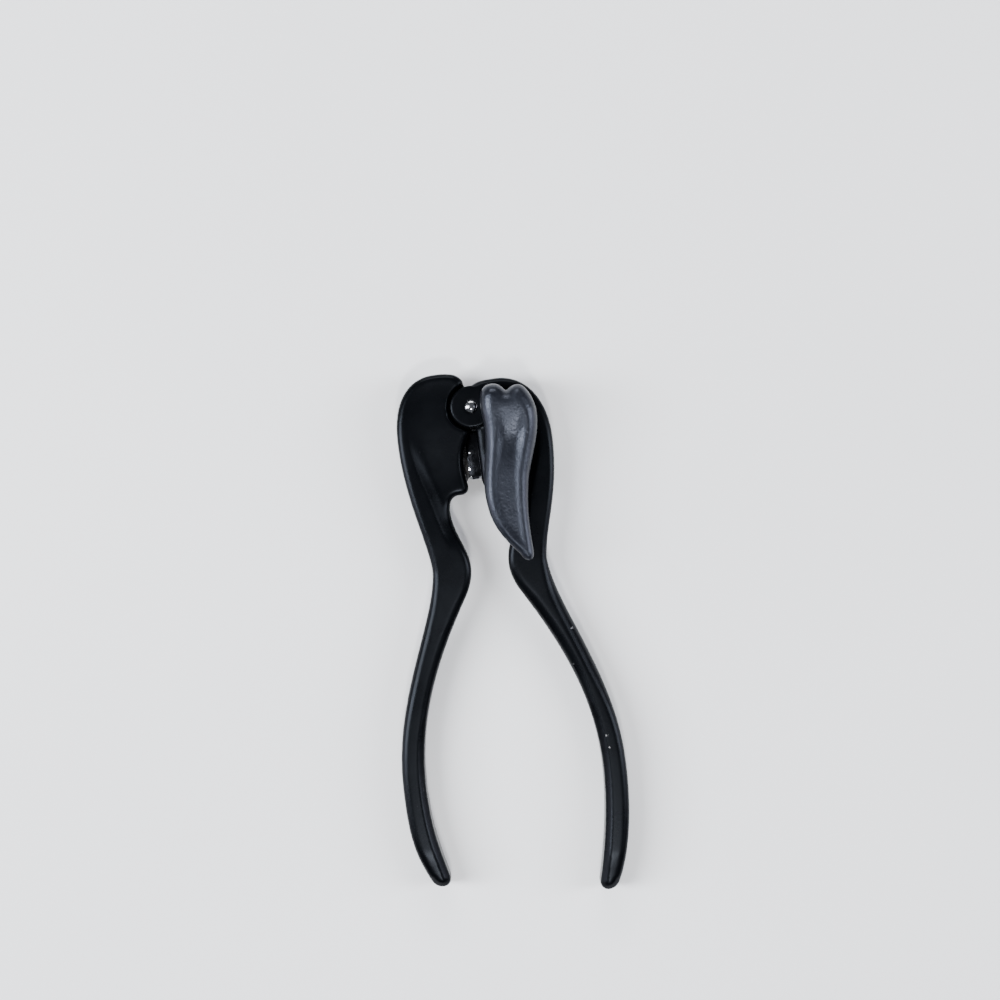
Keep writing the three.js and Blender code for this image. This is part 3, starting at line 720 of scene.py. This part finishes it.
hardware = {
    "pivot_rivet": (makeRivet("pivotRivetBright"), "right_side", "bright_rivet"),
    "pivot_friction_washer": (
        makeRing("pivotFrictionWasherRing", "pivot_friction_washer", 1.5 * mm), "right_side", "dark_steel"
    ),
    "pivot_rear_washer": (
        makeRing("pivotRearWasherRing", "pivot_rear_washer", 1.5 * mm), "right_side", "dark_steel"
    ),
    "shaft_bush": (makeRing("shaftBushRing", "shaft_bush", 3.15 * mm), "right_side", "bush_bronze"),
    "right_wheel_plate": (
        makePlate("rightWheelPlateSoft", "right_wheel_plate"), "right_side", "dark_steel"
    ),
    "left_wheel_plate": (
        makePlate("leftWheelPlateSoft", "left_wheel_plate"), "left_side", "dark_steel"
    ),
    "cutter_stud": (makeStud("cutterStudTurned"), "left_side", "wheel_steel"),
    "cutter_screw": (makeScrew("cutterScrewSlotted", "cutter_screw", cutterAxis), "left_side", "wheel_steel"),
    "cutter_spring_washer": (
        makeSpringRing("cutterSpringWasherWaved", "cutter_spring_washer", 2.55 * mm), "left_side", "dark_steel"
    ),
    "cutting_wheel": (makeCuttingWheel("cuttingWheelGround"), "cutter", "wheel_steel"),
    "rim_roller": (makeRoller("rimRollerTurned"), "roller", "wheel_steel"),
    "key_shaft": (makeShaft("keyShaftTurned"), "key_and_feed_wheel", "wheel_steel"),
    "feed_wheel": (makeFeedWheel("feedWheelToothed"), "key_and_feed_wheel", "wheel_steel"),
    "feed_spacer": (makeRing("feedSpacerRing", "feed_spacer", 3.15 * mm), "key_and_feed_wheel", "dark_steel"),
    "feed_lock_washer": (
        makeSpringRing("feedLockWasherWaved", "feed_lock_washer", 3.05 * mm), "key_and_feed_wheel", "dark_steel"
    ),
    "feed_screw": (makeScrew("feedScrewSlotted", "feed_screw", feedAxis), "key_and_feed_wheel", "wheel_steel"),
    "key_washer": (makeRing("keyWasherRing", "key_washer", 3.15 * mm, 0.12), "key_and_feed_wheel", "black_nylon"),
}
for side in ("left", "right"):
    for number in (1, 2):
        node = f"{side}_plate_rivet_{number}"
        hardware[node] = (makePlateRivet(f"{side}PlateRivet{number}", node), f"{side}_side", "wheel_steel")
print("hardware:", len(hardware), "pieces")


def newGroup(name, inputs, outputs):
    group = bpy.data.node_groups.new(name, "ShaderNodeTree")
    for label, kind, value in inputs:
        socket = group.interface.new_socket(name=label, in_out="INPUT", socket_type=kind)
        socket.default_value = value
    for label, kind in outputs:
        group.interface.new_socket(name=label, in_out="OUTPUT", socket_type=kind)
    return group, group.nodes.new("NodeGroupInput"), group.nodes.new("NodeGroupOutput")


def addNode(tree, kind, **settings):
    node = tree.nodes.new(kind)
    for key, value in settings.items():
        setattr(node, key, value)
    return node


def wire(tree, source, target):
    tree.links.new(source, target)


def give(tree, value, socket):
    # the output of another node is wired in, a plain value is set
    if hasattr(value, "links"):
        wire(tree, value, socket)
    else:
        socket.default_value = value


def mathNode(tree, operation, first, second):
    node = addNode(tree, "ShaderNodeMath", operation=operation)
    give(tree, first, node.inputs[0])
    give(tree, second, node.inputs[1])
    return node.outputs[0]


def remap(tree, value, low, high, newLow, newHigh):
    node = addNode(tree, "ShaderNodeMapRange", clamp=True, interpolation_type="SMOOTHSTEP")
    wire(tree, value, node.inputs["Value"])
    for label, number in (("From Min", low), ("From Max", high), ("To Min", newLow), ("To Max", newHigh)):
        node.inputs[label].default_value = number
    return node.outputs["Result"]


def noiseNode(tree, coordinates, scale, detail=3.0, roughness=0.5):
    node = addNode(tree, "ShaderNodeTexNoise")
    wire(tree, coordinates, node.inputs["Vector"])
    give(tree, scale, node.inputs["Scale"])
    node.inputs["Detail"].default_value = detail
    node.inputs["Roughness"].default_value = roughness
    return node.outputs["Fac"]


def makeSprayGroup():
    # sprayed coat: fine peel, broad waves in the film and a few settled specks
    group, given, result = newGroup(
        "sprayedCoat",
        [("Peel Scale", "NodeSocketFloat", 1400), ("Wave Scale", "NodeSocketFloat", 160),
         ("Wave Share", "NodeSocketFloat", 0.4)],
        [("Height", "NodeSocketFloat"), ("Patches", "NodeSocketFloat"), ("Specks", "NodeSocketFloat")],
    )
    place = addNode(group, "ShaderNodeTexCoord").outputs["Object"]
    peel = noiseNode(group, place, given.outputs["Peel Scale"], 2.5, 0.55)
    waves = noiseNode(group, place, given.outputs["Wave Scale"], 2.0, 0.5)
    height = mathNode(group, "ADD", peel, mathNode(group, "MULTIPLY", waves, given.outputs["Wave Share"]))
    wire(group, height, result.inputs["Height"])
    wire(group, remap(group, noiseNode(group, place, 95, 4, 0.6), 0.35, 0.65, 0, 1), result.inputs["Patches"])
    cells = addNode(group, "ShaderNodeTexVoronoi", feature="F1")
    wire(group, place, cells.inputs["Vector"])
    cells.inputs["Scale"].default_value = 420
    near = remap(group, cells.outputs["Distance"], 0.05, 0.11, 1, 0)
    rare = remap(group, noiseNode(group, place, 130, 1), 0.60, 0.66, 0, 1)
    wire(group, mathNode(group, "MULTIPLY", near, rare), result.inputs["Specks"])
    return group


def makeSharpEdgeGroup():
    # sharp edges: where the surface turns sharply outwards, broken up by noise
    group, given, result = newGroup(
        "sharpEdgeMask",
        [("Start", "NodeSocketFloat", 0.55), ("Full", "NodeSocketFloat", 0.62),
         ("Break Up", "NodeSocketFloat", 600)],
        [("Mask", "NodeSocketFloat")],
    )
    place = addNode(group, "ShaderNodeTexCoord").outputs["Object"]
    turnOut = addNode(group, "ShaderNodeNewGeometry").outputs["Pointiness"]
    edge = addNode(group, "ShaderNodeMapRange", clamp=True)
    wire(group, turnOut, edge.inputs["Value"])
    wire(group, given.outputs["Start"], edge.inputs["From Min"])
    wire(group, given.outputs["Full"], edge.inputs["From Max"])
    broken = remap(group, noiseNode(group, place, given.outputs["Break Up"], 4, 0.65), 0.42, 0.6, 0, 1)
    wire(group, mathNode(group, "MULTIPLY", edge.outputs["Result"], broken), result.inputs["Mask"])
    return group


def makeChipAndGlintGroup():
    # one small ragged spot, used for chips through the paint and for painted glints on steel
    group, given, result = newGroup(
        "chipAndGlintSpot",
        [("Centre", "NodeSocketVector", (0, 0, 0)), ("Size", "NodeSocketFloat", 0.0006)],
        [("Mask", "NodeSocketFloat")],
    )
    place = addNode(group, "ShaderNodeTexCoord").outputs["Object"]
    apart = addNode(group, "ShaderNodeVectorMath", operation="SUBTRACT")
    wire(group, place, apart.inputs[0])
    wire(group, given.outputs["Centre"], apart.inputs[1])
    squashed = addNode(group, "ShaderNodeVectorMath", operation="MULTIPLY")
    wire(group, apart.outputs["Vector"], squashed.inputs[0])
    squashed.inputs[1].default_value = (1, 1, 0.15)
    away = addNode(group, "ShaderNodeVectorMath", operation="LENGTH")
    wire(group, squashed.outputs["Vector"], away.inputs[0])
    outline = remap(group, noiseNode(group, place, 1900, 3, 0.7), 0.3, 0.7, 0.35, 1.5)
    ragged = mathNode(group, "MULTIPLY", outline, given.outputs["Size"])
    wire(group, mathNode(group, "LESS_THAN", away.outputs["Value"], ragged), result.inputs["Mask"])
    return group


def makeTurnedGroup():
    # lathe rings round a vertical axis and faint stains
    group, given, result = newGroup(
        "turnedSteel",
        [("Axis", "NodeSocketVector", (0, 0, 0)), ("Ring Scale", "NodeSocketFloat", 9000)],
        [("Height", "NodeSocketFloat"), ("Stain", "NodeSocketFloat")],
    )
    place = addNode(group, "ShaderNodeTexCoord").outputs["Object"]
    away = addNode(group, "ShaderNodeVectorMath", operation="SUBTRACT")
    wire(group, place, away.inputs[0])
    wire(group, given.outputs["Axis"], away.inputs[1])
    flat = addNode(group, "ShaderNodeVectorMath", operation="MULTIPLY")
    wire(group, away.outputs["Vector"], flat.inputs[0])
    flat.inputs[1].default_value = (1, 1, 0)
    radius = addNode(group, "ShaderNodeVectorMath", operation="LENGTH")
    wire(group, flat.outputs["Vector"], radius.inputs[0])
    height = addNode(group, "ShaderNodeSeparateXYZ")
    wire(group, away.outputs["Vector"], height.inputs[0])
    packed = addNode(group, "ShaderNodeCombineXYZ")
    wire(group, radius.outputs["Value"], packed.inputs["X"])
    wire(group, height.outputs["Z"], packed.inputs["Y"])
    rings = noiseNode(group, packed.outputs["Vector"], given.outputs["Ring Scale"], 2, 0.6)
    wire(group, rings, result.inputs["Height"])
    wire(group, remap(group, noiseNode(group, place, 420, 4, 0.6), 0.4, 0.7, 0, 1), result.inputs["Stain"])
    return group


sprayedCoat = makeSprayGroup()
sharpEdgeMask = makeSharpEdgeGroup()
chipAndGlintSpot = makeChipAndGlintGroup()
turnedSteel = makeTurnedGroup()


def newFinish(name):
    material = bpy.data.materials.new(name)
    material.use_nodes = True
    return material, material.node_tree, material.node_tree.nodes["Principled BSDF"]


def placed(tree, group, **values):
    node = addNode(tree, "ShaderNodeGroup", node_tree=group)
    for label, value in values.items():
        node.inputs[label.replace("_", " ")].default_value = value
    return node


def colourMix(tree, mask, first, second):
    mix = addNode(tree, "ShaderNodeMix", data_type="RGBA")
    wire(tree, mask, mix.inputs["Factor"])
    for socket, value in ((mix.inputs[6], first), (mix.inputs[7], second)):
        give(tree, value if hasattr(value, "links") else (*value, 1), socket)
    return mix.outputs[2]


def bumpInto(tree, shader, height, strength, distance):
    bump = addNode(tree, "ShaderNodeBump")
    bump.inputs["Strength"].default_value = strength
    bump.inputs["Distance"].default_value = distance
    wire(tree, height, bump.inputs["Height"])
    wire(tree, bump.outputs["Normal"], shader.inputs["Normal"])


blackFinish = {
    "colour": (0.0009, 0.0011, 0.0015), "patch": (0.0012, 0.0014, 0.0019), "metal": (0.15, 0.15, 0.155),
    "roughness": (0.27, 0.30), "specular": 0.09, "tint": (0.78, 0.86, 1.0), "peel": 900, "bump": 0.2,
}
# chips on the grip that carries the key: metres from the pivot axis, and how wide
gripChips = [((0.0221, -0.0691), 0.0004), ((0.0213, -0.0798), 0.00025),
             ((0.0287, -0.1020), 0.00035), ((0.0291, -0.1057), 0.0004)]


def makeBlackPaint(name, chips):
    s = blackFinish
    material, tree, shader = newFinish(name)
    coat = placed(tree, sprayedCoat, Peel_Scale=s["peel"], Wave_Scale=130.0, Wave_Share=0.5)
    sharpEdges = placed(tree, sharpEdgeMask, Start=0.65, Full=0.8, Break_Up=700.0)
    bare = mathNode(tree, "MULTIPLY", sharpEdges.outputs["Mask"], 0.05)
    for (x, y), size in chips:
        centre = (pivot.x + x, pivot.y + y, 0.0118)
        bare = mathNode(tree, "MAXIMUM", bare, placed(tree, chipAndGlintSpot, Centre=centre, Size=size).outputs["Mask"])
    paint = colourMix(tree, coat.outputs["Patches"], s["colour"], s["patch"])
    dusty = colourMix(tree, coat.outputs["Specks"], paint, (0.012, 0.012, 0.014))
    wire(tree, colourMix(tree, bare, dusty, s["metal"]), shader.inputs["Base Color"])
    wire(tree, bare, shader.inputs["Metallic"])
    gloss = remap(tree, coat.outputs["Patches"], 0, 1, *s["roughness"])
    wire(tree, mathNode(tree, "ADD", gloss, mathNode(tree, "MULTIPLY", coat.outputs["Specks"], 0.3)),
         shader.inputs["Roughness"])
    height = mathNode(tree, "SUBTRACT", coat.outputs["Height"], mathNode(tree, "MULTIPLY", bare, 1.5))
    bumpInto(tree, shader, height, s["bump"], 0.00003)
    shader.inputs["Specular IOR Level"].default_value = s["specular"]
    shader.inputs["Specular Tint"].default_value = (*s["tint"], 1)
    return material


# lighterEdges is the colour the key's coat takes along sharp outward edges
slateFinish = {
    "colour": (0.0028, 0.0032, 0.0050), "patch": (0.0048, 0.0054, 0.0080), "lighterEdges": (0.018, 0.020, 0.026),
    "roughness": (0.31, 0.37), "specular": 0.36, "tint": (0.74, 0.81, 1.0), "peel": 1300, "bump": 1.0,
}


def makeSlatePaint(name):
    s = slateFinish
    material, tree, shader = newFinish(name)
    coat = placed(tree, sprayedCoat, Peel_Scale=s["peel"], Wave_Scale=260.0, Wave_Share=0.35)
    sharpEdges = placed(tree, sharpEdgeMask, Start=0.53, Full=0.62, Break_Up=900.0)
    paint = colourMix(tree, coat.outputs["Patches"], s["colour"], s["patch"])
    # the coat is made lighter along sharp outward edges
    lighterEdges = colourMix(tree, mathNode(tree, "MULTIPLY", sharpEdges.outputs["Mask"], 0.5), paint, s["lighterEdges"])
    wire(tree, colourMix(tree, coat.outputs["Specks"], lighterEdges, (0.05, 0.05, 0.06)), shader.inputs["Base Color"])
    wire(tree, remap(tree, coat.outputs["Patches"], 0, 1, *s["roughness"]), shader.inputs["Roughness"])
    bumpInto(tree, shader, coat.outputs["Height"], s["bump"], 0.00008)
    shader.inputs["Specular IOR Level"].default_value = s["specular"]
    shader.inputs["Specular Tint"].default_value = (*s["tint"], 1)
    return material


def makeSteel(name, axis, colour, stain, roughness, rings=9000.0, bump=0.3, bright=()):
    material, tree, shader = newFinish(name)
    lathe = placed(tree, turnedSteel, Axis=tuple(axis), Ring_Scale=rings)
    shade = colourMix(tree, lathe.outputs["Stain"], colour, stain)
    # painted highlights: each spot in bright puts a near-white patch into the steel's colour where a glint would
    # show
    for (x, y, z), size in bright:
        spot = placed(tree, chipAndGlintSpot, Centre=(pivot.x + x, pivot.y + y, z), Size=size)
        shade = colourMix(tree, spot.outputs["Mask"], shade, (0.9, 0.9, 0.92))
    wire(tree, shade, shader.inputs["Base Color"])
    wire(tree, remap(tree, lathe.outputs["Stain"], 0, 1, roughness, roughness + 0.14), shader.inputs["Roughness"])
    bumpInto(tree, shader, lathe.outputs["Height"], bump, 0.00002)
    shader.inputs["Metallic"].default_value = 1
    return material


def makeNylon(name):
    material, tree, shader = newFinish(name)
    coat = placed(tree, sprayedCoat, Peel_Scale=2500.0, Wave_Scale=300.0, Wave_Share=0.2)
    wire(tree, colourMix(tree, coat.outputs["Patches"], (0.014, 0.014, 0.015), (0.024, 0.024, 0.025)),
         shader.inputs["Base Color"])
    wire(tree, remap(tree, coat.outputs["Patches"], 0, 1, 0.5, 0.62), shader.inputs["Roughness"])
    bumpInto(tree, shader, coat.outputs["Height"], 0.3, 0.00002)
    return material


leftPaint = makeBlackPaint("black paint left", [])
rightPaint = makeBlackPaint("black paint right", gripChips)
slatePaint = makeSlatePaint("slate grey coat")
rivetBright = makeSteel("bright rivet", pivot, (0.42, 0.42, 0.44), (0.3, 0.3, 0.31), 0.1, 6000.0, 0.1)
cutterSteel = makeSteel("ground cutter steel", cutterAxis, (0.13, 0.13, 0.135), (0.07, 0.068, 0.066), 0.24)
feedSteel = makeSteel("hardened feed steel", feedAxis, (0.12, 0.12, 0.125), (0.06, 0.06, 0.058), 0.26)
# painted glints on the right wheel plate: near-white spots where its edges would catch the light; offsets from
# the pivot axis in metres, height, and how wide
paintedGlintSpots = [((-0.0022, -0.0136, 0.00815), 0.00035), ((-0.0027, -0.0184, 0.00815), 0.0004),
              ((-0.0025, -0.0211, 0.00812), 0.00045), ((0.0003, -0.0212, 0.00812), 0.00045)]
blackened = ((0.022, 0.023, 0.027), (0.012, 0.0125, 0.014), 0.12, 5000.0, 0.2)
blackFeedWithGlints = makeSteel("blackened steel with painted glints at feed axis", feedAxis, *blackened, paintedGlintSpots)
blackCutter = makeSteel("blackened steel at cutter axis", cutterAxis, *blackened)
darkSteel = ((0.08, 0.08, 0.084), (0.045, 0.043, 0.042), 0.34, 5000.0)
darkFeed = makeSteel("dark steel at feed axis", feedAxis, *darkSteel)
darkCutter = makeSteel("dark steel at cutter axis", cutterAxis, *darkSteel)
darkPivot = makeSteel("dark steel at pivot", pivot, *darkSteel)
bronze = makeSteel("sintered bronze", feedAxis, (0.55, 0.36, 0.18), (0.36, 0.23, 0.12), 0.38, 4000.0)
nylon = makeNylon("black nylon")


def nearestAxis(node):
    spot = centreOf(node)
    return min((pivot, feedAxis, cutterAxis), key=lambda a: hypot(spot.x - a.x, spot.y - a.y))


def finishFor(slot, node):
    if node.endswith("wheel_plate"):
        return blackCutter if node.startswith("left") else blackFeedWithGlints
    if slot == "wheel_steel":
        return cutterSteel if nearestAxis(node) == cutterAxis else feedSteel
    if slot == "dark_steel":
        axes = (pivot, feedAxis, cutterAxis)
        return (darkPivot, darkFeed, darkCutter)[axes.index(nearestAxis(node))]
    return {"bright_rivet": rivetBright, "bush_bronze": bronze, "black_nylon": nylon}[slot]


def settle(piece, node, body, material):
    piece.data.materials.clear()
    piece.data.materials.append(material)
    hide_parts(node)
    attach(piece, body)


settle(leftHandle, "left_handle", "left_side", leftPaint)
settle(rightHandle, "right_handle", "right_side", rightPaint)
settle(turningKey, "turning_key", "key_and_feed_wheel", slatePaint)
for node, (piece, body, slot) in hardware.items():
    settle(piece, node, body, finishFor(slot, node))
print("finishes set")


studio = {
    "floorColour": (0.90, 0.90, 0.905), "worldColour": (0.86, 0.92, 1.0), "worldStrength": 0.2,
    "lens": 85, "view": 0.2985, "aim": (0.0053, 0.04), "tilt": 6.74,
}


def makeFloor():
    bm = bmesh.new()
    bmesh.ops.create_grid(bm, x_segments=4, y_segments=4, size=3)
    floor = fromBmesh("floor", bm)
    material, tree, shader = newFinish("pale floor")
    place = addNode(tree, "ShaderNodeTexCoord").outputs["Object"]
    shade = remap(tree, noiseNode(tree, place, 6, 3), 0.3, 0.7, 0, 1)
    lighter = tuple(min(1, c * 1.03) for c in studio["floorColour"])
    wire(tree, colourMix(tree, shade, studio["floorColour"], lighter), shader.inputs["Base Color"])
    shader.inputs["Roughness"].default_value = 0.7
    floor.data.materials.append(material)


def softbox(name, spot, aim, size, power, colour=(1, 1, 1)):
    lamp = bpy.data.lights.new(name, "AREA")
    lamp.shape = "RECTANGLE"
    lamp.size, lamp.size_y = size
    lamp.energy = power
    lamp.color = colour
    light = bpy.data.objects.new(name, lamp)
    light.location = spot
    light.rotation_euler = (Vector(aim) - Vector(spot)).to_track_quat("-Z", "Y").to_euler()
    bpy.context.scene.collection.objects.link(light)


def makeWorld():
    world = bpy.data.worlds.new("soft studio")
    world.use_nodes = True
    shade = world.node_tree.nodes["Background"]
    shade.inputs["Color"].default_value = (*studio["worldColour"], 1)
    shade.inputs["Strength"].default_value = studio["worldStrength"]
    bpy.context.scene.world = world


def makeCamera():
    lens = bpy.data.cameras.new("camera")
    lens.lens = studio["lens"]
    lens.sensor_width = 36
    lens.dof.use_dof = False
    lens.clip_start = 0.01
    lens.clip_end = 20
    camera = bpy.data.objects.new("camera", lens)
    height = studio["view"] * studio["lens"] / lens.sensor_width + 0.012
    camera.location = (studio["aim"][0], studio["aim"][1], height)
    camera.rotation_euler = (0, 0, -radians(studio["tilt"]))
    bpy.context.scene.collection.objects.link(camera)
    bpy.context.scene.camera = camera


makeFloor()
makeWorld()
softbox("left softbox", (-0.85, 0.10, 0.95), (0, 0.02, 0), (0.34, 1.0), 28, (0.93, 0.96, 1.0))
softbox("right softbox", (0.95, 0.0, 0.85), (0, 0.02, 0), (0.35, 0.9), 11, (0.93, 0.96, 1.0))
softbox("top softbox", (0.05, 1.15, 0.72), (0, 0.03, 0), (0.9, 0.30), 10)
softbox("front softbox", (-0.02, -0.34, 0.96), (0.01, 0.05, 0), (0.10, 0.12), 5)
softbox("low left softbox", (-1.0, -0.05, 0.32), (0, -0.03, 0), (0.35, 1.0), 5, (0.9, 0.88, 1.0))
softbox("low right softbox", (1.0, -0.05, 0.32), (0, -0.03, 0), (0.35, 1.0), 5, (0.9, 0.88, 1.0))
makeCamera()
print("stage set")
